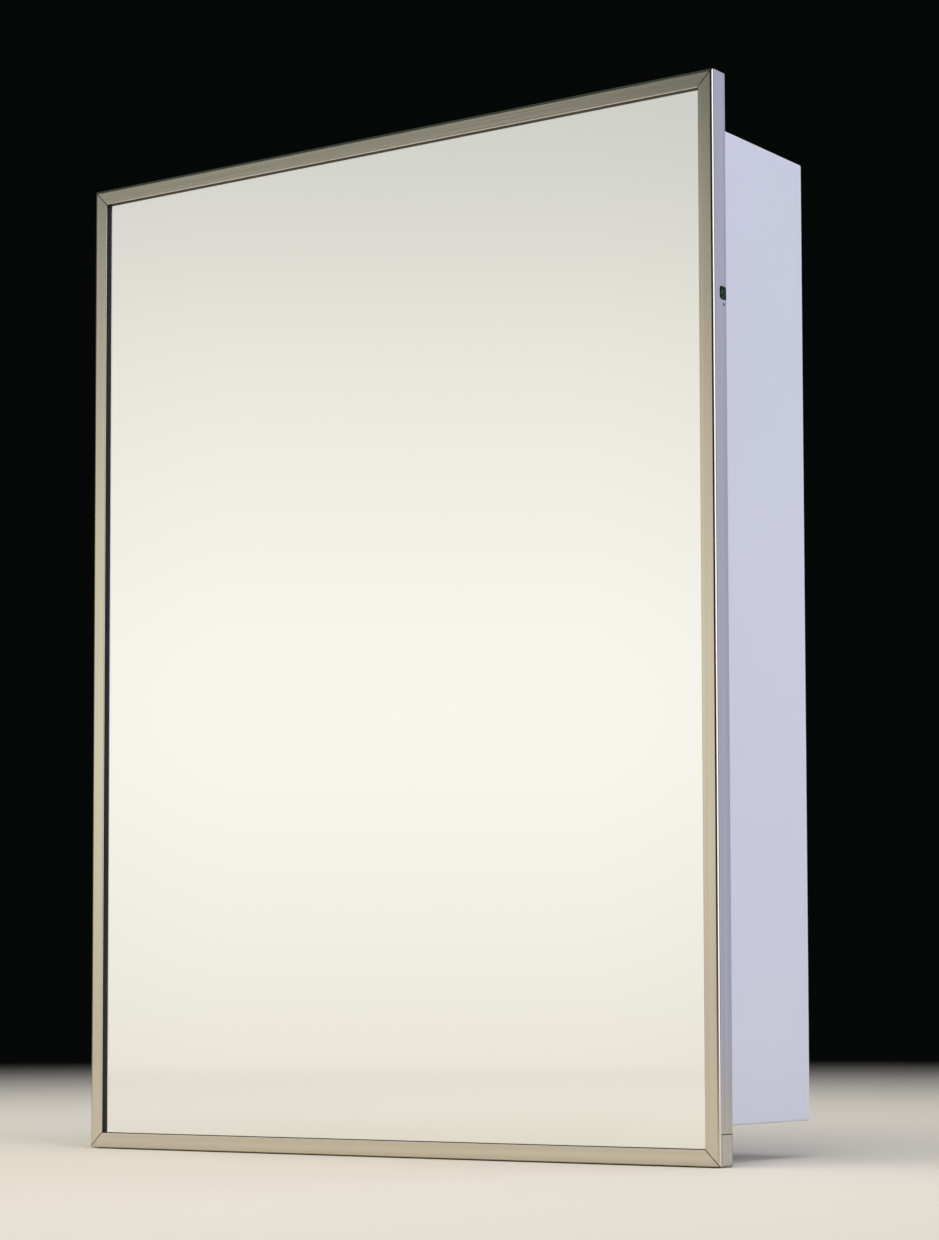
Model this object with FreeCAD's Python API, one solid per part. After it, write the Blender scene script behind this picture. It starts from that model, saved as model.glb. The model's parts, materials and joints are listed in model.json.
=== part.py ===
"""Recessed medicine cabinet: a folded steel body with a hinged mirror door in a steel channel frame.

Row frame, millimetres: +X to the right as seen by someone facing the mirror, +Y into the wall, +Z up.
The origin is the centre of the body's back face, which lies on the wall. The door is hinged at -X.
"""

import FreeCAD
import Part
import math
import os

V = FreeCAD.Vector

# ---- Driving dimensions ----------------------------------------------------------------------------

# Overall sizes
DOOR_W = 457.2
DOOR_H = 609.6
BODY_DEPTH = 122.0          # wall to the front face of the body's flange
DOOR_OVERHANG = 20.65       # door past the body on each of its four sides

# Body sheet
BODY_SHEET = 0.9
BODY_BEND = 1.6             # outside radius of a fold
BODY_CORNER = 1.4           # outside radius where two walls meet
FLANGE_W = 16.0             # front flange, past the body's outer face
BACK_RIM = 12.0             # forward rim of the back panel

# Door frame channel
FRAME_SHEET = 0.8
FRAME_BEND = 1.8
FRAME_FACE = 9.6            # width of the front lip
FRAME_REAR_LIP = 9.6
FRAME_DEPTH = 15.0
MITRE_GAP = 0.5             # between two members at a corner
CORNER_TAB = 17.4           # bottom rail's end, turned up the right-hand side
SEAM_GAP = 0.6              # past the end of the tab
TAB_GAP = 0.25              # beside the tab

# What the door frame holds
DOOR_GAP = 2.0              # between the closed door and the body's flange
GASKET_T = 2.2
GASKET_SETBACK = 0.1        # gasket's inner edge behind the lip's inner edge
GASKET_TO_BEND = 0.6        # gasket's outer edge to the channel's fold
GLASS_T = 4.8
GLASS_PLAY = 1.2            # glass edge to the inside of the channel
GLASS_ARRIS = 0.5
BACKING_T = 2.0
BACKING_PLAY = 1.8
PAN_SHEET = 0.8
PAN_PLAY = 2.2
ANGLE_T = 1.0               # corner angles
ANGLE_LEG = 40.0

# Hinge
PIN_R = 1.25
PIN_CLEARANCE = 0.05
KNUCKLE_R = 2.4
KNUCKLE_PITCH = 25.4
KNUCKLE_GAP = 0.3           # between neighbours along the pin
HINGE_SIDE_GAP = 0.2        # knuckle to the door's side
LEAF_CLEARANCE = 0.4        # leaf edge to the other leaf's knuckles
LEAF_GAP = 0.2              # between the closed leaves
PIN_AHEAD = 0.2             # pin's axis in front of the door's rear face
HINGE_END = 12.7            # hinge shorter than the door, at each end
BODY_LEAF_OVERLAP = 12.0    # body leaf's hold on the flange
PIN_HEAD_R = 2.3
PIN_HEAD_T = 1.2

# Fasteners
HEAD_ROUND = 0.7            # of a head's height
SCREW_R = 1.45
SCREW_HEAD_R = 2.7
SCREW_HEAD_T = 1.5
SCREW_CLEARANCE = 0.15
SCREW_LENGTH = 4.6
RIVET_R = 1.6
RIVET_HEAD_R = 2.2
RIVET_HEAD_T = 1.1
RIVET_PITCH = 96.0
PAN_SCREW_PITCH = 150.0
SCREW_INSET = 7.0           # fastener centre in from the door's side

# Magnetic catch and its strike
CATCH_DROP = 125.4          # below the top of the door
CATCH_W = 14.0
CATCH_H = 33.0
CATCH_DEPTH = 14.0
CATCH_SETBACK = 0.3         # housing proud of the flange's front
CATCH_WALL = 2.0
EAR_T = 3.0
EAR_H = 9.0
CATCH_SCREW_R = 1.5
CATCH_SCREW_HEAD_R = 3.0
CATCH_SCREW_HEAD_T = 1.6
CATCH_SCREW_TIP = 3.0
MAGNET_W = 5.0
MAGNET_H = 28.0
MAGNET_D = 9.8
POLE_T = 1.2
POLE_H = 30.0
POLE_CLEARANCE = 0.2
FLOAT_TRAVEL = 1.0
FLOAT_SPARE = 0.2           # behind the magnet at the end of its travel
STRIKE_GAP = 0.3
STRIKE_T = 1.2
STRIKE_W = 16.0
STRIKE_H = 38.0
STRIKE_TAIL_H = 12.0
STRIKE_TAIL_INSET = 1.8     # tail's end in from the door's side
STRIKE_JOGGLE = 2.0         # overlap of tail and pad where the plate steps
STRIKE_RIVET_EDGE = 1.0     # rivet hole to the end of the plate
STRIKE_SCREW_R = 1.45
STRIKE_SCREW_HEAD_R = 2.6
STRIKE_SCREW_LENGTH = 6.2
STRIKE_SCREW_INSET = 5.2    # in from the door's side
NUT_SIZE = 6.6
NUT_T = 2.6
NUT_CLEARANCE = 1.2         # to the opening in the back pan
WINDOW_H = 7.6
WINDOW_W = 7.6
WINDOW_MARGIN = 1.0         # to the door's rear face
WINDOW_CORNER = 2.0
PILOT_R = 0.8
PILOT_DROP = 6.3            # below the window's centre
PILOT_INSET = 4.0           # in front of the door's rear face

# Shelves
STANDARD_W = 16.0
STANDARD_D = 3.5
STANDARD_SHEET = 0.9
STANDARD_BEND = 1.2         # outside radius of a fold
STANDARD_END_GAP = 13.0
STANDARD_REAR = 22.0        # centre of the rear strips, from the wall
STANDARD_FRONT = 18.0       # centre of the front strips, from the shelf's front edge
SLOT_PITCH = 12.7
SLOT_W = 9.5
SLOT_H = 3.0
CLIP_T = 2.4
CLIP_W = 8.9
CLIP_LEDGE = 10.0
CLIP_DROP = 8.0
CLIP_HOOK = 5.0
CLIP_PLAY = 0.2             # hook to the back of the strip
SHELF_T = 4.8
SHELF_SIDE_GAP = 1.5
SHELF_REAR_GAP = 4.0
SHELF_FRONT_GAP = 4.0       # behind the catch
SHELF_CORNER = 4.0
SHELF_ARRIS = 0.6
SHELF_HEIGHTS = {"lower": -0.25, "middle": 0.0, "upper": 0.25}   # shares of the body's height

# Bumpers and wall holes
BUMPER_R = 4.5
BUMPER_CLEARANCE = 0.2
BUMPER_TO_LIP = 1.0
BUMPER_ROUND = 0.8
BUMPER_INSET = 30.0         # from the body's top and bottom
BACK_HOLE_R = 3.25
BACK_HOLES_X = 304.8
BACK_HOLES_Z = 457.2
SIDE_HOLE_R = 2.4
SIDE_HOLES_Z = 457.2
SIDE_HOLE_DEPTH = 15.0      # behind the flange's front face

# Cutting
PAST = 1.0                  # how far a cutting shape runs past the face that it opens
THROUGH = 3.0               # half the length of a drill through thin sheet
NEAR = 1e-3                 # positions closer than this are the same

# ---- What follows from them ------------------------------------------------------------------------

DOOR_X = DOOR_W / 2
DOOR_Z = DOOR_H / 2
BODY_X = DOOR_X - DOOR_OVERHANG
BODY_Z = DOOR_Z - DOOR_OVERHANG
INNER_X = BODY_X - BODY_SHEET
INNER_Z = BODY_Z - BODY_SHEET
FLANGE_FRONT = -BODY_DEPTH
DOOR_REAR = FLANGE_FRONT - DOOR_GAP
DOOR_FRONT = DOOR_REAR - FRAME_DEPTH
GLASS_FRONT = DOOR_FRONT + FRAME_SHEET + GASKET_T
GLASS_REAR = GLASS_FRONT + GLASS_T
BACKING_REAR = GLASS_REAR + BACKING_T
PAN_REAR = DOOR_REAR - FRAME_SHEET
HINGE_X = -(DOOR_X + HINGE_SIDE_GAP + KNUCKLE_R)
HINGE_Y = DOOR_REAR - PIN_AHEAD
LEAF_T = (DOOR_GAP - LEAF_GAP) / 2
HINGE_HALF = DOOR_Z - HINGE_END
CATCH_Z = DOOR_Z - CATCH_DROP
CATCH_X = INNER_X - CATCH_W / 2
CATCH_FRONT = FLANGE_FRONT - CATCH_SETBACK
CATCH_REAR = CATCH_FRONT + CATCH_DEPTH
STRIKE_REAR = PAN_REAR + STRIKE_T
POLE_FRONT = STRIKE_REAR + STRIKE_GAP
POLE_REAR = CATCH_REAR - CATCH_WALL - FLOAT_TRAVEL - FLOAT_SPARE
STRIKE_SCREW_X = DOOR_X - STRIKE_SCREW_INSET
SHELF_REAR = -(BODY_SHEET + SHELF_REAR_GAP)
SHELF_FRONT = CATCH_REAR + SHELF_FRONT_GAP
WEB_X = INNER_X - STANDARD_D
SHELF_X = WEB_X - SHELF_SIDE_GAP
STANDARD_Z = INNER_Z - STANDARD_END_GAP
STANDARDS = {"rear": -STANDARD_REAR, "front": SHELF_FRONT + STANDARD_FRONT}


# ---- Small tools -----------------------------------------------------------------------------------

def block(x, y, z):
    """A box from three (low, high) pairs, in either order."""
    (x0, x1), (y0, y1), (z0, z1) = sorted(x), sorted(y), sorted(z)
    return Part.makeBox(x1 - x0, y1 - y0, z1 - z0, V(x0, y0, z0))


def rod(radius, start, end):
    """A cylinder between two points."""
    start, end = V(*start), V(*end)
    return Part.makeCylinder(radius, (end - start).Length, start, end - start)


def pan_head(radius, height, base, direction):
    """A low fastener head with a rounded rim, which stands on base and points along direction."""
    base, direction = V(*base), V(*direction)
    head = Part.makeCylinder(radius, height, base, direction)
    top = base + direction * height
    rim = [e for e in head.Edges if e.Closed and (e.CenterOfMass - top).Length < NEAR]
    return head.makeFillet(HEAD_ROUND * height, rim)


def fuse(shapes):
    first, *rest = shapes
    return first.multiFuse(rest).removeSplitter() if rest else first


def cut(shape, tools):
    return shape.cut(Part.makeCompound(tools)) if tools else shape


def mirrored_x(shape):
    return shape.mirror(V(0, 0, 0), V(1, 0, 0))


def mirrored_z(shape):
    return shape.mirror(V(0, 0, 0), V(0, 0, 1))


def offset_line(points, distance):
    """The open polyline moved sideways to its left by distance."""
    moved = []
    for i, p in enumerate(points):
        before = (p - points[i - 1]).normalize() if i else None
        after = (points[i + 1] - p).normalize() if i + 1 < len(points) else None
        a, b = before or after, after or before
        left = V(-a.y, a.x, 0) + V(-b.y, b.x, 0)
        moved.append(p + left * (2 * distance / left.dot(left)))
    return moved


def folded(points, thickness, radius, round_start=False):
    """The cross-section of a folded sheet, as a face in the XY plane: points is the line of its right-hand
    side, and radius the outside radius of each fold. Its first free edge may be a full round."""
    points = [V(x, y, 0) for x, y in points]
    edges, ends = [], []
    for line, outside_turn in ((points, 1), (offset_line(points, thickness), -1)):
        last = line[0]
        for p, q, r in zip(line, line[1:], line[2:]):
            a, b = (q - p).normalize(), (r - q).normalize()
            turn = a.x * b.y - a.y * b.x
            fold = radius if turn * outside_turn > 0 else radius - thickness
            angle = math.acos(max(-1.0, min(1.0, a.dot(b))))
            reach = fold * math.tan(angle / 2)
            start, end = q - a * reach, q + b * reach
            middle = q + (b - a).normalize() * (fold * (1 / math.cos(angle / 2) - 1))
            edges += [Part.makeLine(last, start), Part.Arc(start, middle, end).toShape()]
            last = end
        edges.append(Part.makeLine(last, line[-1]))
        ends.append((line[0], line[-1]))
    (start, end), (far_start, far_end) = ends
    if round_start:
        tip = (start + far_start) * 0.5 + (points[0] - points[1]).normalize() * (abs(thickness) / 2)
        edges.append(Part.Arc(start, tip, far_start).toShape())
    else:
        edges.append(Part.makeLine(start, far_start))
    edges.append(Part.makeLine(end, far_end))
    return Part.Face(Part.Wire(Part.__sortEdges__(edges)))


def side_member(face, half_length):
    """Extrudes a section drawn in the XY plane into an upright member centred on z = 0."""
    face = face.copy()
    face.translate(V(0, 0, -half_length))
    return face.extrude(V(0, 0, 2 * half_length))


def top_member(face, half_length):
    """The same for a section whose first axis is the distance up and whose second is y: it runs along x."""
    solid = side_member(face, half_length)
    solid.rotate(V(0, 0, 0), V(0, 1, 0), -90)
    return solid


def mitre(half_x, half_z, upright, gap):
    """The space that one side of a mitred rectangle may fill: the side at +X if upright, or else at +Z."""
    near, far = (half_x, half_z) if upright else (half_z, half_x)
    room = 2 * near
    corners = [(near - room / 2, far - room / 2), (near + room / 2, far + room / 2)]
    shape = [(a, b - gap / math.sqrt(2)) for a, b in corners]
    shape += [(a, -b) for a, b in reversed(shape)]
    points = [V(a, 0, b) if upright else V(b, 0, a) for a, b in shape]
    wire = Part.makePolygon(points + points[:1])
    prism = Part.Face(wire).extrude(V(0, 2 * BODY_DEPTH, 0))
    prism.translate(V(0, -BODY_DEPTH * 1.5 - FRAME_DEPTH, 0))
    return prism


def spread(half_length, pitch):
    """Positions from -half_length to half_length, evenly spaced at about pitch."""
    count = max(1, round(2 * half_length / pitch))
    return [-half_length + i * 2 * half_length / count for i in range(count + 1)]


# ---- Body ------------------------------------------------------------------------------------------

def corner_rounding():
    """The slivers outside the rounded corners of the body's walls, behind the flange's fold."""
    span = (FLANGE_FRONT + BODY_SHEET + BODY_BEND, PAST)
    square = block((-BODY_X - PAST, BODY_X + PAST), span, (-BODY_Z - PAST, BODY_Z + PAST))
    body = block((-BODY_X, BODY_X), span, (-BODY_Z, BODY_Z))
    body = body.makeFillet(BODY_CORNER, [e for e in body.Edges if e.BoundBox.YLength > BODY_CORNER])
    return square.cut(body).Solids


def wall_panel(half, other, upright):
    """Wall and outward front flange of the panel whose outer face stands at half."""
    rear_of_flange = FLANGE_FRONT + BODY_SHEET
    section = folded([(half, 0), (half, rear_of_flange), (half + FLANGE_W, rear_of_flange)],
                     -BODY_SHEET, BODY_BEND)
    length = other + FLANGE_W
    solid = side_member(section, length) if upright else top_member(section, length)
    return cut(solid.common(mitre(INNER_X, INNER_Z, upright, 0)), corner_rounding())


def make_body_panels():
    top = wall_panel(BODY_Z, BODY_X, False)
    hole_y = FLANGE_FRONT + SIDE_HOLE_DEPTH
    side = cut(wall_panel(BODY_X, BODY_Z, True),
               [rod(SIDE_HOLE_R, (INNER_X - PAST, hole_y, z), (BODY_X + PAST, hole_y, z))
                for z in (-SIDE_HOLES_Z / 2, SIDE_HOLES_Z / 2)])
    screw_y = (CATCH_FRONT + CATCH_REAR) / 2
    catch_holes = [rod(CATCH_SCREW_R, (INNER_X - PAST, screw_y, z), (BODY_X + PAST, screw_y, z))
                   for z in catch_screw_heights()]
    return {
        "side_panel_right": cut(side, catch_holes),
        "side_panel_left": mirrored_x(side),
        "top_panel": top,
        "bottom_panel": mirrored_z(top),
    }


def make_back_panel():
    outer = block((-INNER_X, INNER_X), (-BACK_RIM, 0), (-INNER_Z, INNER_Z))
    rear_edges = [e for e in outer.Edges if e.BoundBox.YMin > -NEAR]
    outer = outer.makeFillet(BODY_BEND, rear_edges)
    hollow = block((BODY_SHEET - INNER_X, INNER_X - BODY_SHEET), (-BACK_RIM - PAST, -BODY_SHEET),
                   (BODY_SHEET - INNER_Z, INNER_Z - BODY_SHEET))
    hollow_edges = [e for e in hollow.Edges if e.BoundBox.YMin > -BODY_SHEET - NEAR]
    hollow = hollow.makeFillet(BODY_BEND - BODY_SHEET, hollow_edges)
    holes = [rod(BACK_HOLE_R, (x, -2 * BODY_SHEET, z), (x, BODY_SHEET, z))
             for x in (-BACK_HOLES_X / 2, BACK_HOLES_X / 2) for z in (-BACK_HOLES_Z / 2, BACK_HOLES_Z / 2)]
    return cut(outer.cut(hollow), holes)


def make_bumpers():
    """Soft buttons on the right-hand flange, which the back of the door meets."""
    x = DOOR_X - FRAME_REAR_LIP - BUMPER_TO_LIP - BUMPER_R
    front = PAN_REAR + BUMPER_CLEARANCE
    buttons = []
    for z in (-BODY_Z + BUMPER_INSET, BODY_Z - BUMPER_INSET):
        button = rod(BUMPER_R, (x, FLANGE_FRONT, z), (x, front, z))
        rim = [e for e in button.Edges if e.BoundBox.YMax < front + NEAR]
        buttons.append(button.makeFillet(BUMPER_ROUND, rim))
    return Part.makeCompound(buttons)


# ---- Shelves ---------------------------------------------------------------------------------------

def slot_heights():
    count = int((STANDARD_Z - SLOT_PITCH) / SLOT_PITCH)
    return [i * SLOT_PITCH for i in range(-count, count + 1)]


def shelf_slot(share):
    """The height of the slot nearest to that share of the body's height."""
    return min(slot_heights(), key=lambda z: abs(z - share * 2 * BODY_Z))


def make_standard(y):
    """A slotted channel on the right-hand wall, its open side against the wall."""
    leg = STANDARD_W / 2
    section = folded([(INNER_X, y - leg), (WEB_X, y - leg), (WEB_X, y + leg), (INNER_X, y + leg)],
                     -STANDARD_SHEET, STANDARD_BEND)
    strip = side_member(section, STANDARD_Z)
    slots = [block((WEB_X - PAST, WEB_X + 2 * STANDARD_SHEET), (y - SLOT_W / 2, y + SLOT_W / 2),
                   (z - SLOT_H / 2, z + SLOT_H / 2)) for z in slot_heights()]
    return cut(strip, slots)


def make_clip(y, z):
    """A hook in a slot on the right-hand wall, with a ledge that the shelf rests on."""
    width = (y - CLIP_W / 2, y + CLIP_W / 2)
    low, high = z - CLIP_T / 2, z + CLIP_T / 2
    hook_x = WEB_X + STANDARD_SHEET + CLIP_PLAY
    hook_t = CLIP_T / 2
    tongue = block((WEB_X - CLIP_LEDGE, hook_x + hook_t), width, (low, high))
    stay = block((WEB_X - hook_t, WEB_X), width, (high, low - CLIP_DROP))
    hook = block((hook_x, hook_x + hook_t), width, (low, high + CLIP_HOOK))
    return fuse([tongue, stay, hook])


def make_clips(share):
    z = shelf_slot(share)
    right = [make_clip(y, z) for y in STANDARDS.values()]
    return Part.makeCompound(right + [mirrored_x(c) for c in right])


def make_shelf(share):
    low = shelf_slot(share) + CLIP_T / 2
    plate = block((-SHELF_X, SHELF_X), (SHELF_FRONT, SHELF_REAR), (low, low + SHELF_T))
    upright = [e for e in plate.Edges if e.BoundBox.ZLength > SHELF_T / 2]
    plate = plate.makeFillet(SHELF_CORNER, upright)
    rims = [e for e in plate.Edges if e.BoundBox.ZLength < NEAR]
    return plate.makeChamfer(SHELF_ARRIS, rims)


# ---- Door frame ------------------------------------------------------------------------------------

def channel_section(half):
    """The frame's channel, with its web at half and both lips turned inwards."""
    return folded([(half - FRAME_FACE + FRAME_SHEET / 2, DOOR_FRONT), (half, DOOR_FRONT), (half, DOOR_REAR),
                   (half - FRAME_REAR_LIP, DOOR_REAR)], FRAME_SHEET, FRAME_BEND, round_start=True)


def tab_span():
    """The flat stretch of the channel's web, front to rear."""
    return DOOR_FRONT + FRAME_BEND + TAB_GAP, DOOR_REAR - FRAME_BEND - TAB_GAP


def pan_screw_places():
    """(x, z, side) of the screws that hold the pan to the frame's rear lip."""
    along_z = DOOR_Z - ANGLE_LEG - SCREW_INSET
    along_x = DOOR_X - ANGLE_LEG - SCREW_INSET
    right = [(DOOR_X - SCREW_INSET, z) for z in spread(along_z, PAN_SCREW_PITCH)
             if abs(z - CATCH_Z) > STRIKE_TAIL_H]
    rows = [(x, s * (DOOR_Z - SCREW_INSET)) for s in (-1, 1) for x in spread(along_x, PAN_SCREW_PITCH)]
    return right, rows


def hinge_rivet_heights():
    """Rivets sit between the hinge's ends, clear of the corner angles."""
    return spread(HINGE_HALF - ANGLE_LEG, RIVET_PITCH)


def lip_holes(places, radius):
    return [rod(radius, (x, DOOR_REAR - THROUGH, z), (x, DOOR_REAR + THROUGH, z)) for x, z in places]


def strike_window():
    """The opening in the right-hand stile's side through which the strike's nut is reached."""
    rear = DOOR_REAR - WINDOW_MARGIN
    window = block((DOOR_X - FRAME_BEND - FRAME_SHEET, DOOR_X + PAST), (rear - WINDOW_W, rear),
                   (CATCH_Z - WINDOW_H / 2, CATCH_Z + WINDOW_H / 2))
    return window.makeFillet(WINDOW_CORNER, [e for e in window.Edges if e.BoundBox.XLength > FRAME_BEND])


def make_frame():
    stile = side_member(channel_section(DOOR_X), DOOR_Z).common(mitre(DOOR_X, DOOR_Z, True, MITRE_GAP))
    rail = top_member(channel_section(DOOR_Z), DOOR_X).common(mitre(DOOR_X, DOOR_Z, False, MITRE_GAP))
    right_screws, row_screws = pan_screw_places()
    loose = SCREW_R + SCREW_CLEARANCE
    web = tab_span()
    seam = -DOOR_Z + CORNER_TAB

    right = cut(stile, lip_holes(right_screws, loose) + [
        block((DOOR_X - FRAME_BEND, DOOR_X + PAST), (web[0] - TAB_GAP, web[1] + TAB_GAP),
              (-DOOR_Z - PAST, seam + SEAM_GAP)),
        strike_window(),
        rod(PILOT_R, (DOOR_X - FRAME_BEND, DOOR_REAR - PILOT_INSET, CATCH_Z - PILOT_DROP),
            (DOOR_X + PAST, DOOR_REAR - PILOT_INSET, CATCH_Z - PILOT_DROP)),
    ] + lip_holes([(STRIKE_SCREW_X, CATCH_Z)], STRIKE_SCREW_R))
    left_x = -(DOOR_X - SCREW_INSET)
    left = cut(mirrored_x(stile), lip_holes([(left_x, z) for z in hinge_rivet_heights()], RIVET_R))

    turned = folded([(DOOR_X - FRAME_FACE, -DOOR_Z), (DOOR_X, -DOOR_Z), (DOOR_X, seam)],
                    FRAME_SHEET, FRAME_BEND)
    turned.rotate(V(0, 0, 0), V(1, 0, 0), 90)
    turned.translate(V(0, web[1], 0))
    tab = turned.extrude(V(0, web[0] - web[1], 0))
    bottom = mirrored_z(rail)
    corner = block((DOOR_X - FRAME_FACE, DOOR_X + PAST), (web[0], web[1]),
                   (-DOOR_Z - PAST, -DOOR_Z + FRAME_BEND))
    bottom = fuse([bottom.cut(corner), tab])
    bottom = cut(bottom, lip_holes([p for p in row_screws if p[1] < 0], loose))
    top = cut(rail, lip_holes([p for p in row_screws if p[1] > 0], loose))
    return {"frame_stile_right": right, "frame_stile_left": left,
            "frame_rail_top": top, "frame_rail_bottom": bottom}


def make_corner_angles():
    front, rear = DOOR_FRONT + FRAME_BEND + ANGLE_T, DOOR_REAR - FRAME_BEND - ANGLE_T
    x, z = DOOR_X - FRAME_SHEET, DOOR_Z - FRAME_SHEET
    upright = block((x - ANGLE_T, x), (front, rear), (z - ANGLE_LEG, z))
    level = block((x - ANGLE_LEG, x), (front, rear), (z - ANGLE_T, z))
    angle = fuse([upright, level])
    bend = [e for e in angle.Edges if e.BoundBox.XMin > x - NEAR and e.BoundBox.ZMin > z - NEAR]
    angle = angle.makeFillet(FRAME_BEND - FRAME_SHEET, bend)
    return Part.makeCompound([angle, mirrored_x(angle), mirrored_z(angle), mirrored_x(mirrored_z(angle))])


# ---- What the door frame holds ---------------------------------------------------------------------

def door_slab(play, front, rear):
    x, z = DOOR_X - FRAME_SHEET - play, DOOR_Z - FRAME_SHEET - play
    return block((-x, x), (front, rear), (-z, z))


def make_mirror():
    glass = door_slab(GLASS_PLAY, GLASS_FRONT, GLASS_REAR)
    return glass.makeChamfer(GLASS_ARRIS, glass.Edges)


def make_gasket():
    """Four strips that cushion the glass behind the frame's front lip."""
    front, rear = DOOR_FRONT + FRAME_SHEET, GLASS_FRONT
    outer, inner = FRAME_BEND + GASKET_TO_BEND, FRAME_FACE - GASKET_SETBACK
    upright = block((DOOR_X - inner, DOOR_X - outer), (front, rear), (-DOOR_Z + outer, DOOR_Z - outer))
    level = block((-DOOR_X + inner, DOOR_X - inner), (front, rear), (DOOR_Z - inner, DOOR_Z - outer))
    return Part.makeCompound([upright, mirrored_x(upright), level, mirrored_z(level)])


def make_pan():
    """A shallow tray, open to the front, whose rim presses the backing against the glass."""
    outer = door_slab(PAN_PLAY, BACKING_REAR, PAN_REAR)
    rear_edges = [e for e in outer.Edges if e.BoundBox.YMin > PAN_REAR - NEAR]
    outer = outer.makeFillet(FRAME_BEND, rear_edges)
    hollow = door_slab(PAN_PLAY + PAN_SHEET, BACKING_REAR - PAST, PAN_REAR - PAN_SHEET)
    rear_edges = [e for e in hollow.Edges if e.BoundBox.YMin > PAN_REAR - PAN_SHEET - NEAR]
    pan = outer.cut(hollow.makeFillet(FRAME_BEND - PAN_SHEET, rear_edges))
    right_screws, row_screws = pan_screw_places()
    left_x = -(DOOR_X - SCREW_INSET)
    rivets = [(left_x, z) for z in hinge_rivet_heights()] + strike_rivet_places()
    room = NUT_SIZE / 2 + NUT_CLEARANCE
    nut_opening = block((STRIKE_SCREW_X - room, DOOR_X), (BACKING_REAR - PAST, PAN_REAR + PAST),
                        (CATCH_Z - room, CATCH_Z + room))
    holes = lip_holes(right_screws + row_screws, SCREW_R) + lip_holes(rivets, RIVET_R)
    return cut(pan, holes + [nut_opening])


def make_pan_screws():
    right_screws, row_screws = pan_screw_places()
    solids = []
    for x, z in right_screws + row_screws:
        shank = rod(SCREW_R, (x, DOOR_REAR - SCREW_LENGTH, z), (x, DOOR_REAR, z))
        solids.append(fuse([shank, pan_head(SCREW_HEAD_R, SCREW_HEAD_T, (x, DOOR_REAR, z), (0, 1, 0))]))
    return Part.makeCompound(solids)


# ---- Hinge -----------------------------------------------------------------------------------------

def knuckle_spans():
    """(low, high, belongs to the body) of each knuckle, bottom to top; both ends belong to the body."""
    count = 2 * round((2 * HINGE_HALF / KNUCKLE_PITCH - 1) / 2) + 1
    pitch = 2 * HINGE_HALF / count
    lows = [-HINGE_HALF + i * pitch for i in range(count)]
    return [(z + KNUCKLE_GAP / 2, z + pitch - KNUCKLE_GAP / 2, i % 2 == 0) for i, z in enumerate(lows)]


def make_leaf(plate_y, reach, of_body):
    """A leaf whose plate lies between the two plate_y and runs from the knuckles to x = reach."""
    bore = PIN_R if of_body else PIN_R + PIN_CLEARANCE
    plate = block((HINGE_X, reach), plate_y, (-HINGE_HALF, HINGE_HALF))
    own, away = [], []
    for low, high, body_side in knuckle_spans():
        if body_side == of_body:
            own.append(rod(KNUCKLE_R, (HINGE_X, HINGE_Y, low), (HINGE_X, HINGE_Y, high)))
        else:
            room = KNUCKLE_R + LEAF_CLEARANCE
            away.append(block((HINGE_X - room, HINGE_X + room), (HINGE_Y - room, HINGE_Y + room),
                              (low - KNUCKLE_GAP, high + KNUCKLE_GAP)))
    through = rod(bore, (HINGE_X, HINGE_Y, -HINGE_HALF - PAST), (HINGE_X, HINGE_Y, HINGE_HALF + PAST))
    return fuse([cut(plate, away)] + own).cut(through)


def rivet(x, z, flush_y):
    """A rivet through the back pan: flush at flush_y, with its formed head inside the door."""
    head_y = PAN_REAR - PAN_SHEET
    shank = rod(RIVET_R, (x, flush_y, z), (x, head_y, z))
    return fuse([shank, pan_head(RIVET_HEAD_R, RIVET_HEAD_T, (x, head_y, z), (0, -1, 0))])


def make_hinge():
    rivet_x = -(DOOR_X - SCREW_INSET)
    leaf_rear = DOOR_REAR + LEAF_T
    pin = rod(PIN_R, (HINGE_X, HINGE_Y, -HINGE_HALF), (HINGE_X, HINGE_Y, HINGE_HALF))
    heads = [pan_head(PIN_HEAD_R, PIN_HEAD_T, (HINGE_X, HINGE_Y, s * HINGE_HALF), (0, 0, s)) for s in (-1, 1)]
    door_leaf = make_leaf((DOOR_REAR, leaf_rear), -(DOOR_X - FRAME_REAR_LIP), False)
    return {
        "hinge_body_leaf": make_leaf((FLANGE_FRONT - LEAF_T, FLANGE_FRONT),
                                     -(BODY_X + FLANGE_W - BODY_LEAF_OVERLAP), True),
        "hinge_door_leaf": cut(door_leaf, lip_holes([(rivet_x, z) for z in hinge_rivet_heights()], RIVET_R)),
        "hinge_pin": fuse([pin] + heads),
        "hinge_rivets": Part.makeCompound([rivet(rivet_x, z, leaf_rear) for z in hinge_rivet_heights()]),
    }


# ---- Catch and strike ------------------------------------------------------------------------------

def catch_screw_heights():
    reach = CATCH_H / 2 + EAR_H / 2
    return [CATCH_Z - reach, CATCH_Z + reach]


def strike_rivet_places():
    reach = STRIKE_H / 2 - RIVET_R - STRIKE_RIVET_EDGE
    return [(CATCH_X, CATCH_Z - reach), (CATCH_X, CATCH_Z + reach)]


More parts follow.
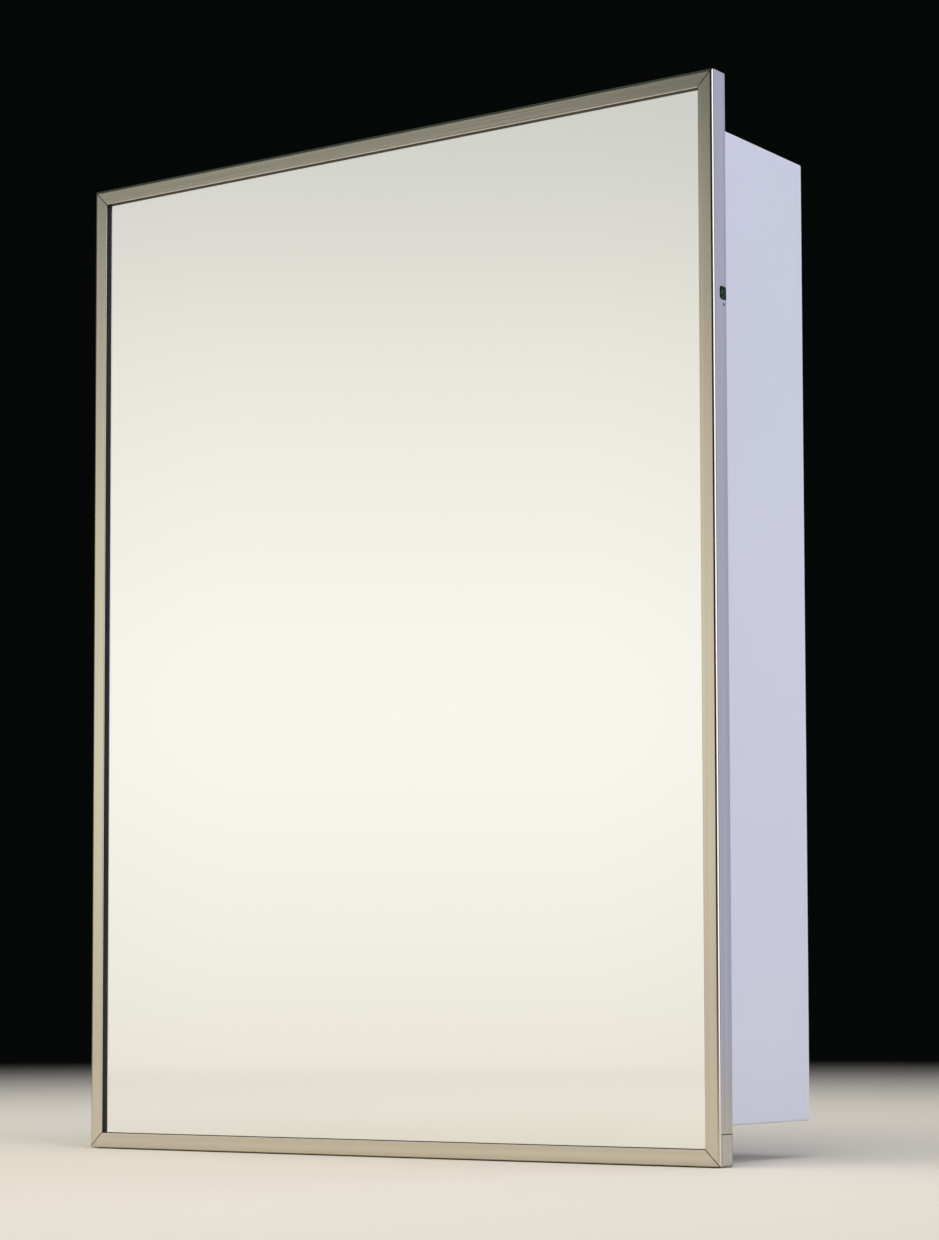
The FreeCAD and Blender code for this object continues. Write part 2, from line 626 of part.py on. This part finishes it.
def make_catch():
    screw_y = (CATCH_FRONT + CATCH_REAR) / 2
    low, high = CATCH_Z - CATCH_H / 2, CATCH_Z + CATCH_H / 2
    barrel = block((INNER_X - CATCH_W, INNER_X), (CATCH_FRONT, CATCH_REAR), (low, high))
    ears = block((INNER_X - EAR_T, INNER_X), (CATCH_FRONT, CATCH_REAR), (low - EAR_H, high + EAR_H))
    pocket_x = MAGNET_W / 2 + POLE_T + POLE_CLEARANCE
    pocket_z = POLE_H / 2 + POLE_CLEARANCE
    pocket = block((CATCH_X - pocket_x, CATCH_X + pocket_x), (CATCH_FRONT - PAST, CATCH_REAR - CATCH_WALL),
                   (CATCH_Z - pocket_z, CATCH_Z + pocket_z))
    holes, screws = [], []
    for z in catch_screw_heights():
        ear = V(INNER_X - EAR_T, screw_y, z)
        holes.append(rod(CATCH_SCREW_R + SCREW_CLEARANCE, ear - V(PAST, 0, 0), ear + V(EAR_T + PAST, 0, 0)))
        shank = rod(CATCH_SCREW_R, ear, (BODY_X + CATCH_SCREW_TIP, screw_y, z))
        screws.append(fuse([shank, pan_head(CATCH_SCREW_HEAD_R, CATCH_SCREW_HEAD_T, ear, (-1, 0, 0))]))
    magnet_x = MAGNET_W / 2
    plates = [block((CATCH_X + s * magnet_x, CATCH_X + s * (magnet_x + POLE_T)), (POLE_FRONT, POLE_REAR),
                    (CATCH_Z - POLE_H / 2, CATCH_Z + POLE_H / 2)) for s in (-1, 1)]
    magnet = block((CATCH_X - magnet_x, CATCH_X + magnet_x), (POLE_REAR - MAGNET_D, POLE_REAR),
                   (CATCH_Z - MAGNET_H / 2, CATCH_Z + MAGNET_H / 2))
    return {
        "catch_housing": cut(fuse([barrel, ears]), [pocket] + holes),
        "catch_screws": Part.makeCompound(screws),
        "catch_pole_plates": Part.makeCompound(plates),
        "catch_magnet": magnet,
    }


def make_strike():
    """A steel plate on the back pan, with a tail that steps up onto the right-hand stile's rear lip."""
    tail_front = DOOR_REAR
    tail_rear = tail_front + STRIKE_T
    step = DOOR_X - FRAME_REAR_LIP - STRIKE_JOGGLE / 2
    pad_x = CATCH_X - STRIKE_W / 2
    half_tail = STRIKE_TAIL_H / 2
    pad = block((pad_x, pad_x + STRIKE_W), (PAN_REAR, STRIKE_REAR),
                (CATCH_Z - STRIKE_H / 2, CATCH_Z + STRIKE_H / 2))
    neck = block((CATCH_X, step + STRIKE_JOGGLE / 2), (PAN_REAR, STRIKE_REAR),
                 (CATCH_Z - half_tail, CATCH_Z + half_tail))
    tail = block((step - STRIKE_JOGGLE / 2, DOOR_X - STRIKE_TAIL_INSET), (tail_front, tail_rear),
                 (CATCH_Z - half_tail, CATCH_Z + half_tail))
    centre = V(STRIKE_SCREW_X, tail_rear, CATCH_Z)
    sink = Part.makeCone(STRIKE_SCREW_HEAD_R, STRIKE_SCREW_R, STRIKE_T, centre, V(0, -1, 0))
    plate = fuse([pad, neck, tail]).cut(sink)
    plate = cut(plate, lip_holes(strike_rivet_places(), RIVET_R))

    shank = rod(STRIKE_SCREW_R, (STRIKE_SCREW_X, tail_rear - STRIKE_T, CATCH_Z),
                (STRIKE_SCREW_X, tail_rear - STRIKE_SCREW_LENGTH, CATCH_Z))
    nut_rear = DOOR_REAR - FRAME_SHEET
    nut = block((STRIKE_SCREW_X - NUT_SIZE / 2, STRIKE_SCREW_X + NUT_SIZE / 2), (nut_rear - NUT_T, nut_rear),
                (CATCH_Z - NUT_SIZE / 2, CATCH_Z + NUT_SIZE / 2))
    return {
        "strike_plate": plate,
        "strike_rivets": Part.makeCompound([rivet(x, z, STRIKE_REAR) for x, z in strike_rivet_places()]),
        "strike_screw": fuse([sink, shank]),
        "strike_nut": nut.cut(shank),
    }


# ---- All nodes -------------------------------------------------------------------------------------

def make_all():
    nodes = make_body_panels()
    nodes["back_panel"] = make_back_panel()
    nodes["door_bumpers"] = make_bumpers()
    for place, y in STANDARDS.items():
        strip = make_standard(y)
        nodes[f"shelf_standard_{place}_right"] = strip
        nodes[f"shelf_standard_{place}_left"] = mirrored_x(strip)
    for level, share in SHELF_HEIGHTS.items():
        nodes[f"shelf_{level}"] = make_shelf(share)
        nodes[f"shelf_clips_{level}"] = make_clips(share)
    nodes.update(make_frame())
    nodes["corner_angles"] = make_corner_angles()
    nodes["mirror_glass"] = make_mirror()
    nodes["mirror_gasket"] = make_gasket()
    nodes["mirror_backing"] = door_slab(BACKING_PLAY, GLASS_REAR, BACKING_REAR)
    nodes["door_back_pan"] = make_pan()
    nodes["back_pan_screws"] = make_pan_screws()
    nodes.update(make_hinge())
    nodes.update(make_catch())
    nodes.update(make_strike())
    return nodes


def main():
    os.makedirs("parts", exist_ok=True)
    for name, shape in make_all().items():
        shape.exportStep(f"parts/{name}.step")
        solids = shape.Solids
        state = "ok" if shape.isValid() and all(s.isClosed() and s.Volume > 0 for s in solids) else "BAD"
        print(f"{name}: {len(solids)} solids, {shape.Volume:.1f} mm3, {state}")


main()
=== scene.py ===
"""A medicine cabinet: enamelled steel body, glass shelves and a mirror door in a satin steel frame."""

import json
import math

import bmesh
import bpy
from mathutils import Matrix, Vector

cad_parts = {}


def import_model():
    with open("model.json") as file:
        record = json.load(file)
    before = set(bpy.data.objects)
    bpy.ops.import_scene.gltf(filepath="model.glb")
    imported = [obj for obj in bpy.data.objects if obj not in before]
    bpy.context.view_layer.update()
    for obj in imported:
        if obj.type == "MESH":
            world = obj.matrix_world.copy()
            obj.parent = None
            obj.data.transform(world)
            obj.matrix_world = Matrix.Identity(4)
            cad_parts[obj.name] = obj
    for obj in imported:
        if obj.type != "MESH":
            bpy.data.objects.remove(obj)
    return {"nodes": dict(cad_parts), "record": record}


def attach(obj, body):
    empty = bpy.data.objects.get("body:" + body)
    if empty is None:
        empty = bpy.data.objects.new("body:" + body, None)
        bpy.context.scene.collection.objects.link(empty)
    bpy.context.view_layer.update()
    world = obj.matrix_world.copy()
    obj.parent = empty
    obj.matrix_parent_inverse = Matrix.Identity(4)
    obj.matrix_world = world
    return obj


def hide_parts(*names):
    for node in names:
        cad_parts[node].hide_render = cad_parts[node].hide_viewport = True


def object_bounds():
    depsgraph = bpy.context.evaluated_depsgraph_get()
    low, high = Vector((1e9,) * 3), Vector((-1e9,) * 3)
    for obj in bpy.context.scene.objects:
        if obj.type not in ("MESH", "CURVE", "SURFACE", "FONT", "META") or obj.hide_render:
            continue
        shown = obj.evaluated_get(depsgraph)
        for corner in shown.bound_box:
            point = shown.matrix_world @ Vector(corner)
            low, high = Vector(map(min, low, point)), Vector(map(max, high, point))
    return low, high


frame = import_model()
CAD_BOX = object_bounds()
NODES = frame["nodes"]
SLOT_OF = {part["node"]: part["material_slot"] for part in frame["record"]["subparts"]}


# ---- Shader maths ----------------------------------------------------------------------------------

# A Mix node has one set of sockets for each kind of data under the same names, so colours go by number.
MIX_FACTOR, MIX_FIRST, MIX_SECOND, MIX_COLOUR = 0, 6, 7, 2


class Value:
    """An output socket. Arithmetic on it adds Math nodes beside the node it comes from."""

    def __init__(self, socket):
        self.socket = socket
        self.tree = socket.id_data

    def math(self, operation, *inputs):
        return add(self.tree, "ShaderNodeMath", {"operation": operation}, dict(enumerate(inputs)))

    def __add__(self, other):
        return self.math("ADD", self, other)

    def __mul__(self, other):
        return self.math("MULTIPLY", self, other)

    def __sub__(self, other):
        return self.math("SUBTRACT", self, other)

    def __rsub__(self, other):
        return self.math("SUBTRACT", other, self)

    __radd__ = __add__
    __rmul__ = __mul__

    def __pow__(self, other):
        return self.math("POWER", self, other)

    def step(self, low, high):
        """0 at low and below, 1 at high and above, with a smooth rise between them."""
        return add(self.tree, "ShaderNodeMapRange", {"interpolation_type": "SMOOTHSTEP"},
                   {"Value": self, "From Min": low, "From Max": high})

    def band(self, low, high, soft):
        """1 between low and high, falling to 0 over soft on either side."""
        return self.step(low - soft, low) * (1 - self.step(high, high + soft))


def add(tree, kind, settings=None, inputs=None, output=0):
    """Adds a node: its settings first, then the numbers, colours or links of its sockets."""
    node = tree.nodes.new(kind)
    for name, value in (settings or {}).items():
        if name == "stops":
            ramp = node.color_ramp
            ramp.interpolation = "B_SPLINE"
            for place, colour in value[1:-1]:
                ramp.elements.new(place)
            for element, (place, colour) in zip(ramp.elements, value):
                element.position, element.color = place, (*colour, 1)
        else:
            setattr(node, name, value)
    for name, value in (inputs or {}).items():
        if isinstance(value, Value):
            tree.links.new(value.socket, node.inputs[name])
        elif isinstance(value, tuple) and len(value) == 3 and node.inputs[name].type == "RGBA":
            node.inputs[name].default_value = (*value, 1)
        else:
            node.inputs[name].default_value = value
    return Value(node.outputs[output]) if node.outputs else None


def mix(factor, first, second):
    """Colour between first and second."""
    return add(factor.tree, "ShaderNodeMix", {"data_type": "RGBA"},
               {MIX_FACTOR: factor, MIX_FIRST: first, MIX_SECOND: second}, output=MIX_COLOUR)


def material(name):
    """A new material with a bare node tree, and the object-space place of each of its points."""
    made = bpy.data.materials.new(name)
    made.use_nodes = True
    made.node_tree.nodes.clear()
    place = add(made.node_tree, "ShaderNodeTexCoord", output="Object")
    return made, made.node_tree, place


def stretched(tree, place, scale):
    """The place scaled along each axis, for a grain that runs one way."""
    return add(tree, "ShaderNodeMapping", None, {"Vector": place, "Scale": scale})


def noise(tree, place, scale, detail=2.0, roughness=0.5):
    return add(tree, "ShaderNodeTexNoise", None,
               {"Vector": place, "Scale": scale, "Detail": detail, "Roughness": roughness})


def bump(tree, height, distance, strength=1.0):
    return add(tree, "ShaderNodeBump", None, {"Height": height, "Distance": distance, "Strength": strength})


def surface(made, sockets):
    """Ends a material in a Principled shader."""
    shader = add(made.node_tree, "ShaderNodeBsdfPrincipled", None, sockets)
    add(made.node_tree, "ShaderNodeOutputMaterial", None, {"Surface": shader})
    return made


# ---- Finishes --------------------------------------------------------------------------------------

def satin_steel(name, grain, colour, rough):
    """Stainless steel brushed along one axis: fine scratches, faint darker streaks and handling haze."""
    made, tree, place = material(name)
    scratches = noise(tree, stretched(tree, place, grain), 1.0, 5.0, 0.65)
    streaks = noise(tree, stretched(tree, place, tuple(g * 0.16 for g in grain)), 1.0, 2.0)
    haze = noise(tree, place, 9.0, 3.0)
    tone = mix(streaks.step(0.3, 0.72), tuple(0.93 * c for c in colour), tuple(1.04 * c for c in colour))
    return surface(made, {
        "Base Color": tone,
        "Metallic": 1.0,
        "Roughness": rough + 0.10 * (scratches - 0.5) + 0.08 * (haze - 0.5),
        "Normal": bump(tree, scratches, 0.00002, 0.5),
    })


def enamel(name, colour):
    """Baked enamel on sheet steel: orange peel, a little unevenness of gloss and faint dust."""
    made, tree, place = material(name)
    peel = noise(tree, place, 420.0, 2.0)
    sag = noise(tree, place, 60.0, 1.0)
    cloud = noise(tree, place, 7.0, 3.0)
    tone = mix(cloud.step(0.3, 0.7), tuple(0.975 * c for c in colour), colour)
    return surface(made, {
        "Base Color": tone,
        "Roughness": 0.30 + 0.10 * (cloud - 0.5) + 0.05 * (peel - 0.5),
        "Coat Weight": 0.25,
        "Coat Roughness": 0.12,
        "Normal": bump(tree, peel + 1.5 * sag, 0.00003, 0.6),
    })


def silvered_mirror(name):
    """Front-lit silvered float glass, a trace of haze in its polish."""
    made, tree, place = material(name)
    haze = noise(tree, place, 5.0, 4.0)
    return surface(made, {
        "Base Color": (0.955, 0.96, 0.95),
        "Metallic": 1.0,
        "Roughness": 0.012 * haze.step(0.45, 0.8),
    })


def shelf_glass(name):
    """Clear float glass with a little dust on its flat faces and pale green ground edges."""
    made, tree, place = material(name)
    dust = noise(tree, place, 35.0, 4.0)
    marks = noise(tree, stretched(tree, place, (60.0, 60.0, 2500.0)), 1.0, 4.0)
    clear = add(tree, "ShaderNodeBsdfPrincipled", None, {
        "Base Color": (0.90, 0.97, 0.945),
        "Roughness": 0.02 + 0.06 * dust.step(0.5, 0.8),
        "IOR": 1.52,
        "Transmission Weight": 1.0,
    })
    ground = add(tree, "ShaderNodeBsdfPrincipled", None, {
        "Base Color": mix(marks.step(0.3, 0.7), (0.27, 0.50, 0.41), (0.45, 0.68, 0.58)),
        "Roughness": 0.42 + 0.25 * (marks - 0.5),
        "Normal": bump(tree, marks, 0.00005, 0.6),
    })
    facing = add(tree, "ShaderNodeNewGeometry", output="Normal")
    flat = add(tree, "ShaderNodeSeparateXYZ", None, {"Vector": facing}, output="Z")
    edge = 1 - flat.math("ABSOLUTE", flat).step(0.8, 0.95)
    both = add(tree, "ShaderNodeMixShader", None, {0: edge, 1: clear, 2: ground})
    add(tree, "ShaderNodeOutputMaterial", None, {"Surface": both})
    return made


def plain(name, colour, rough, metallic=0.0, grain=300.0, depth=0.00002, spread=0.08, patches=22.0):
    """A finish with a fine grain and a little variation of tone and gloss."""
    made, tree, place = material(name)
    fine = noise(tree, place, grain, 3.0)
    cloud = noise(tree, place, patches, 3.0)
    tone = mix(cloud.step(0.25, 0.75), tuple((1 - spread) * c for c in colour), colour)
    return surface(made, {
        "Base Color": tone,
        "Metallic": metallic,
        "Roughness": rough + 0.12 * (fine - 0.5) + 0.08 * (cloud - 0.5),
        "Normal": bump(tree, fine, depth, 0.5),
    })


FINISHES = {
    "body_enamel": enamel("body_enamel", (0.76, 0.775, 0.845)),
    "pan_enamel": enamel("pan_enamel", (0.77, 0.785, 0.83)),
    "mirror": silvered_mirror("mirror_silver"),
    "gasket_rubber": plain("gasket_rubber", (0.012, 0.012, 0.012), 0.55, grain=900.0),
    "backing_board": plain("backing_board", (0.21, 0.12, 0.06), 0.7, grain=600.0, depth=0.00008),
    "zinc_fasteners": plain("zinc_fasteners", (0.66, 0.67, 0.70), 0.28, 1.0),
    "hinge_stainless": satin_steel("hinge_stainless", (900.0, 900.0, 14.0), (0.60, 0.59, 0.57), 0.3),
    # black_phosphate: the near-black is the finish's own colour; the teal-green base colour, broken by the
    # fine noise into small bright spots, is a painted green glint
    "black_phosphate": plain("black_phosphate", (0.10, 0.26, 0.20), 0.34, 0.5, grain=1500.0, spread=0.95,
                             patches=420.0),
    "bumper_rubber": plain("bumper_rubber", (0.42, 0.42, 0.40), 0.5),
    "standard_steel": plain("standard_steel", (0.66, 0.67, 0.69), 0.3, 1.0),
    "clip_steel": plain("clip_steel", (0.64, 0.65, 0.67), 0.3, 1.0),
    "catch_plastic": plain("catch_plastic", (0.72, 0.72, 0.69), 0.4),
    "ferrite": plain("ferrite", (0.03, 0.03, 0.033), 0.6, grain=1200.0),
    "shelf_glass": shelf_glass("shelf_glass"),
}
FRAME_COLOUR, FRAME_ROUGHNESS = (0.665, 0.615, 0.52), 0.17
ALONG, ACROSS = 9.0, 1400.0     # grain of the frame: scratches are long one way and fine the other
UPRIGHT_STEEL = satin_steel("frame_satin_upright", (ACROSS, ACROSS, ALONG), FRAME_COLOUR, FRAME_ROUGHNESS)
LEVEL_STEEL = satin_steel("frame_satin_level", (ALONG, ACROSS, ACROSS), FRAME_COLOUR, FRAME_ROUGHNESS)

for node, obj in NODES.items():
    finish = FINISHES.get(SLOT_OF[node])
    if node.startswith("frame_stile"):
        finish = UPRIGHT_STEEL
    elif node.startswith("frame_rail"):
        finish = LEVEL_STEEL
    obj.data.materials.clear()
    obj.data.materials.append(finish)


# ---- Fasteners -------------------------------------------------------------------------------------

def deselect():
    bpy.ops.object.select_all(action="DESELECT")


def pick(obj, faces=None, edges=None):
    """In edit mode, selects only the faces or the edges that pass the test."""
    mesh = bmesh.from_edit_mesh(obj.data)
    bpy.ops.mesh.select_all(action="DESELECT")
    bpy.ops.mesh.select_mode(type="FACE" if faces else "EDGE")
    for part in mesh.faces if faces else mesh.edges:
        part.select_set((faces or edges)(part))
    mesh.select_flush_mode()
    bmesh.update_edit_mesh(obj.data)


def edit(obj):
    deselect()
    obj.select_set(True)
    bpy.context.view_layer.objects.active = obj
    bpy.ops.object.mode_set(mode="EDIT")


def leave():
    bpy.ops.object.mode_set(mode="OBJECT")


def apply_modifier(obj, kind, **settings):
    deselect()
    obj.select_set(True)
    bpy.context.view_layer.objects.active = obj
    modifier = obj.modifiers.new("step", kind)
    for name, value in settings.items():
        setattr(modifier, name, value)
    bpy.ops.object.modifier_apply(modifier="step")


def push(distance):
    """Extrudes the selected face straight up or down."""
    bpy.ops.mesh.extrude_region_move(TRANSFORM_OT_translate={"value": (0, 0, distance)})


def at_height(z):
    return lambda part: all(abs(v.co.z - z) < 1e-6 for v in part.verts)


def cross_slot(radius, depth):
    """Cutters of a cross recess: two tapered blades whose tops stand above z = 0."""
    blades = []
    for length, width in ((radius, 0.22 * radius), (0.22 * radius, radius)):
        deselect()
        bpy.ops.mesh.primitive_cube_add(size=1.0, location=(0, 0, 0), scale=(2 * length, 2 * width, depth))
        bpy.ops.object.transform_apply(location=True, rotation=True, scale=True)
        blade = bpy.context.object
        edit(blade)
        pick(blade, faces=at_height(-depth / 2))
        bpy.ops.transform.resize(value=(0.55, 0.55, 1.0), center_override=(0, 0, 0))
        pick(blade, faces=at_height(depth / 2))
        bpy.ops.transform.translate(value=(0, 0, depth / 2))
        pick(blade, faces=lambda f: True)
        bpy.ops.transform.translate(value=(0, 0, -depth / 2))
        leave()
        blades.append(blade)
    return blades


def driven_screw(name, head_radius, head_height, radius, length, sunk=False):
    """A cross-recess screw along z with its head's top at z = head_height (z = 0 if the head is sunk)."""
    deselect()
    top = 0.0 if sunk else head_height
    bpy.ops.mesh.primitive_cylinder_add(vertices=40, radius=head_radius, depth=head_height,
                                        location=(0, 0, top - head_height / 2))
    bpy.ops.object.transform_apply(location=True, rotation=True, scale=True)
    screw = bpy.context.object
    screw.name = name
    edit(screw)
    under = top - head_height
    pick(screw, faces=at_height(under))
    if sunk:
        bpy.ops.transform.resize(value=(radius / head_radius,) * 2 + (1.0,), center_override=(0, 0, under))
    else:
        bpy.ops.mesh.inset(thickness=head_radius - radius)
    # shank with rolled thread rings, then a pointed end
    rings = int((length - 2 * THREAD_PITCH) / THREAD_PITCH)
    for ring in range(rings):
        for factor in (THREAD_DEPTH, 1 / THREAD_DEPTH):
            push(-THREAD_PITCH / 2)
            bpy.ops.transform.resize(value=(factor, factor, 1.0), center_override=(0, 0, 0))
    push(-(length - rings * THREAD_PITCH - 0.5 * radius))
    push(-0.5 * radius)
    bpy.ops.transform.resize(value=(0.6, 0.6, 1.0), center_override=(0, 0, 0))
    if not sunk:
        pick(screw, edges=at_height(top))
        bpy.ops.mesh.bevel(offset=0.6 * head_height, segments=5, profile=0.5)
    leave()
    for blade in cross_slot(0.55 * head_radius, 0.7 * head_height):
        blade.data.transform(Matrix.Translation((0, 0, top)))
        apply_modifier(screw, "BOOLEAN", object=blade, operation="DIFFERENCE", solver="EXACT")
        bpy.data.objects.remove(blade)
    return screw


def islands(node, reach):
    """(low, high) corners of each separate fastener in a node: points within reach belong together."""
    groups = []
    for vertex in NODES[node].data.vertices:
        for group in groups:
            if (group[0] - vertex.co).length < reach:
                group.append(vertex.co)
                break
        else:
            groups.append([vertex.co])
    return [[Vector(end(point[axis] for point in group) for axis in range(3)) for end in (min, max)]
            for group in groups]


def place_copies(master, node, turn, head_at, name, body):
    """Copies of the master at each fastener of a node, joined in one piece that stands for the node."""
    copies = []
    for number, corners in enumerate(islands(node, SPAN)):
        copy = master.copy()
        copy.data = master.data.copy()
        bpy.context.collection.objects.link(copy)
        spin = Matrix.Rotation(0.9 * number, 4, "Z")
        copy.data.transform(Matrix.Translation(head_at(*corners)) @ turn @ spin)
        copies.append(copy)
    deselect()
    for copy in copies:
        copy.select_set(True)
    bpy.context.view_layer.objects.active = copies[0]
    if len(copies) > 1:
        bpy.ops.object.join()
    piece = bpy.context.object
    piece.name = name
    piece.data.materials.clear()
    piece.data.materials.append(FINISHES[SLOT_OF[node]])
    bpy.ops.object.shade_smooth_by_angle(angle=math.radians(35))
    bpy.data.objects.remove(master)
    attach(piece, body)
    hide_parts(node)
    return piece


THREAD_PITCH = 0.0006
THREAD_DEPTH = 0.86 # radius at the bottom of a thread ring, over the radius at its crest
SPAN = 0.013        # longer than any fastener, shorter than their spacing
TO_REAR = Matrix.Rotation(-math.pi / 2, 4, "X")     # +z of the master points to +y
TO_LEFT = Matrix.Rotation(-math.pi / 2, 4, "Y")     # +z of the master points to -x


PAN_HEAD = 0.0015   # heights of heads
CATCH_HEAD = 0.0016


def add_screws():
    pan = driven_screw("pan_screw", 0.0027, PAN_HEAD, 0.00145, 0.0045)
    place_copies(pan, "back_pan_screws", TO_REAR,
                 lambda a, b: ((a.x + b.x) / 2, b.y - PAN_HEAD, (a.z + b.z) / 2), "pan_cross_screws", "door")
    catch = driven_screw("catch_screw", 0.0030, CATCH_HEAD, 0.0015, 0.0060)
    place_copies(catch, "catch_screws", TO_LEFT,
                 lambda a, b: (a.x + CATCH_HEAD, (a.y + b.y) / 2, (a.z + b.z) / 2),
                 "catch_cross_screws", "cabinet")
    strike = driven_screw("strike_sunk_screw", 0.0026, 0.0012, 0.00145, 0.0049, sunk=True)
    place_copies(strike, "strike_screw", TO_REAR,
                 lambda a, b: ((a.x + b.x) / 2, b.y, (a.z + b.z) / 2), "strike_cross_screw", "door")


add_screws()


# ---- Stage, lights and camera ----------------------------------------------------------------------

POOL_AZIMUTH = -36.0                # degrees: the middle of the pale card, left of the front
POOL_HALF, FRINGE_HALF = 6.0, 20.0  # half widths of the card and of the warm glow round it
CARD_TOP = 0.350                    # rise over depth at which the card ends
FLOOR_RADIUS = 4.0
FLOOR_FADE = (0.5, 3.2)             # metres from the cabinet over which the floor melts into the room
FLOOR_DROP = 0.0005                 # below the cabinet's lowest point
DEGREES = 180 / math.pi
POOL_FOOT, POOL_SPAN = 10, 40       # degrees: the ramps start this far below level and cover this much

deselect()
bpy.ops.mesh.primitive_circle_add(vertices=96, radius=FLOOR_RADIUS, fill_type="NGON",
                                  location=(0, 0, CAD_BOX[0].z - FLOOR_DROP))
floor = bpy.context.object
floor.name = "studio_floor"
made, tree, place = material("floor_paper")
fine = noise(tree, place, 180.0, 3.0)
distance = add(tree, "ShaderNodeVectorMath", {"operation": "LENGTH"}, {0: place}, output="Value")
surface(made, {
    "Base Color": (0.86, 0.80, 0.69),
    "Roughness": 0.7,
    "Alpha": 1 - distance.step(*FLOOR_FADE),
    "Normal": bump(tree, fine, 0.0001, 0.3),
})
floor.data.materials.append(made)


def world():
    """Room light that depends on direction: a pale card in front on the left with a warm fringe round it,
    dark walls in front, a bright strip on the right, a bluish glow behind that and a faint ceiling. The
    camera itself sees only a plain dark backdrop."""
    room = bpy.data.worlds.new("studio")
    bpy.context.scene.world = room
    room.use_nodes = True
    tree = room.node_tree
    tree.nodes.clear()
    way = add(tree, "ShaderNodeTexCoord", output="Generated")
    x, y, z = (add(tree, "ShaderNodeSeparateXYZ", None, {"Vector": way}, output=axis) for axis in "XYZ")
    azimuth = x.math("ARCTAN2", x, y * -1) * DEGREES          # 0 is in front, 90 to the right
    rise = z.math("ARCSINE", z) * DEGREES
    across = azimuth.math("ABSOLUTE", azimuth - POOL_AZIMUTH)
    slope = z.math("DIVIDE", z, y * -1)
    height = (rise + POOL_FOOT) * (1 / POOL_SPAN)
    pool = add(tree, "ShaderNodeValToRGB", {"stops": [
        (0.0, (0.60, 0.56, 0.49)), (0.20, (0.84, 0.80, 0.71)), (0.245, (0.88, 0.843, 0.75)),
        (0.3125, (0.95, 0.925, 0.85)), (0.38, (0.998, 0.968, 0.905)), (0.45, (0.965, 0.945, 0.87)),
        (0.5475, (0.86, 0.83, 0.757)), (0.625, (0.70, 0.70, 0.655)), (0.70, (0.60, 0.61, 0.585)),
    ]}, {0: height})
    fringe = add(tree, "ShaderNodeValToRGB", {"stops": [
        (0.15, (0.36, 0.33, 0.29)), (0.22, (0.50, 0.44, 0.38)), (0.28, (0.86, 0.72, 0.58)),
        (0.35, (1.34, 1.08, 0.84)), (0.42, (1.34, 1.08, 0.83)), (0.49, (0.84, 0.71, 0.58)),
        (0.55, (0.44, 0.41, 0.36)), (0.61, (0.20, 0.24, 0.23)), (0.68, (0.07, 0.11, 0.105)),
        (0.85, (0.04, 0.06, 0.055)),
    ]}, {0: height})
    walls = mix(rise.step(-5, 50), (0.08, 0.09, 0.07), (0.06, 0.08, 0.07))
    walls = mix(azimuth.band(-6, 48, 6) * rise.band(-20, 30, 10), walls, (0.018, 0.020, 0.018))
    walls = mix(azimuth.step(118, 140) * rise.band(-12, 50, 25), walls, (0.53, 0.58, 0.88))
    walls = mix(azimuth.band(60, 98, 8) * rise.band(-10, 35, 20), walls, (1.8, 1.8, 2.1))
    walls = mix(rise.step(60, 75), walls, (0.30, 0.30, 0.30))
    glow = mix(slope.step(CARD_TOP, CARD_TOP + 0.004), mix(across.step(3, 7) * 0.07, pool, (0.5, 0.5, 0.45)),
               (0.06, 0.075, 0.06))
    front = mix(across.step(POOL_HALF - 0.3, POOL_HALF + 0.3), glow, fringe)
    colour = mix((1 - across.step(FRINGE_HALF, FRINGE_HALF + 8)) * rise.band(-12, 24, 6), walls, front)
    sight = add(tree, "ShaderNodeLightPath", output="Is Camera Ray")
    seen = mix(sight, colour, (0.002, 0.0026, 0.0023))
    back = add(tree, "ShaderNodeBackground", None, {"Color": seen, "Strength": 1.0})
    add(tree, "ShaderNodeOutputWorld", None, {"Surface": back})


def softbox(name, place, target, size, power, colour):
    bpy.ops.object.light_add(type="AREA", location=place)
    lamp = bpy.context.object
    lamp.name = name
    lamp.data.shape = "RECTANGLE"
    lamp.data.size, lamp.data.size_y = size
    lamp.data.energy = power
    lamp.data.color = colour
    lamp.rotation_euler = (Vector(target) - Vector(place)).to_track_quat("-Z", "Y").to_euler()
    lamp.visible_camera = False
    lamp.visible_glossy = False


world()
softbox("overhead", place=(-0.2, -1.2, 2.3), target=(-0.2, -0.5, 0), size=(3.2, 3.2), power=84,
        colour=(1.0, 0.98, 0.95))

SENSOR = 36                         # millimetres, along the picture's height
LENS = 3090 / 1240 * SENSOR         # focal length over the picture's height
YAW, TILT, ROLL = math.radians(34.86), math.radians(3.71), math.radians(-0.13)
bpy.ops.object.camera_add()
camera = bpy.context.object
camera.data.lens = LENS
camera.data.shift_y = 0.15
camera.matrix_world = (Matrix.Translation((1.0835, -1.6044, -0.2169)) @ Matrix.Rotation(YAW, 4, "Z")
                       @ Matrix.Rotation(math.pi / 2 + TILT, 4, "X") @ Matrix.Rotation(ROLL, 4, "Z"))
bpy.context.scene.camera = camera
bpy.context.scene.view_settings.view_transform = "Standard"
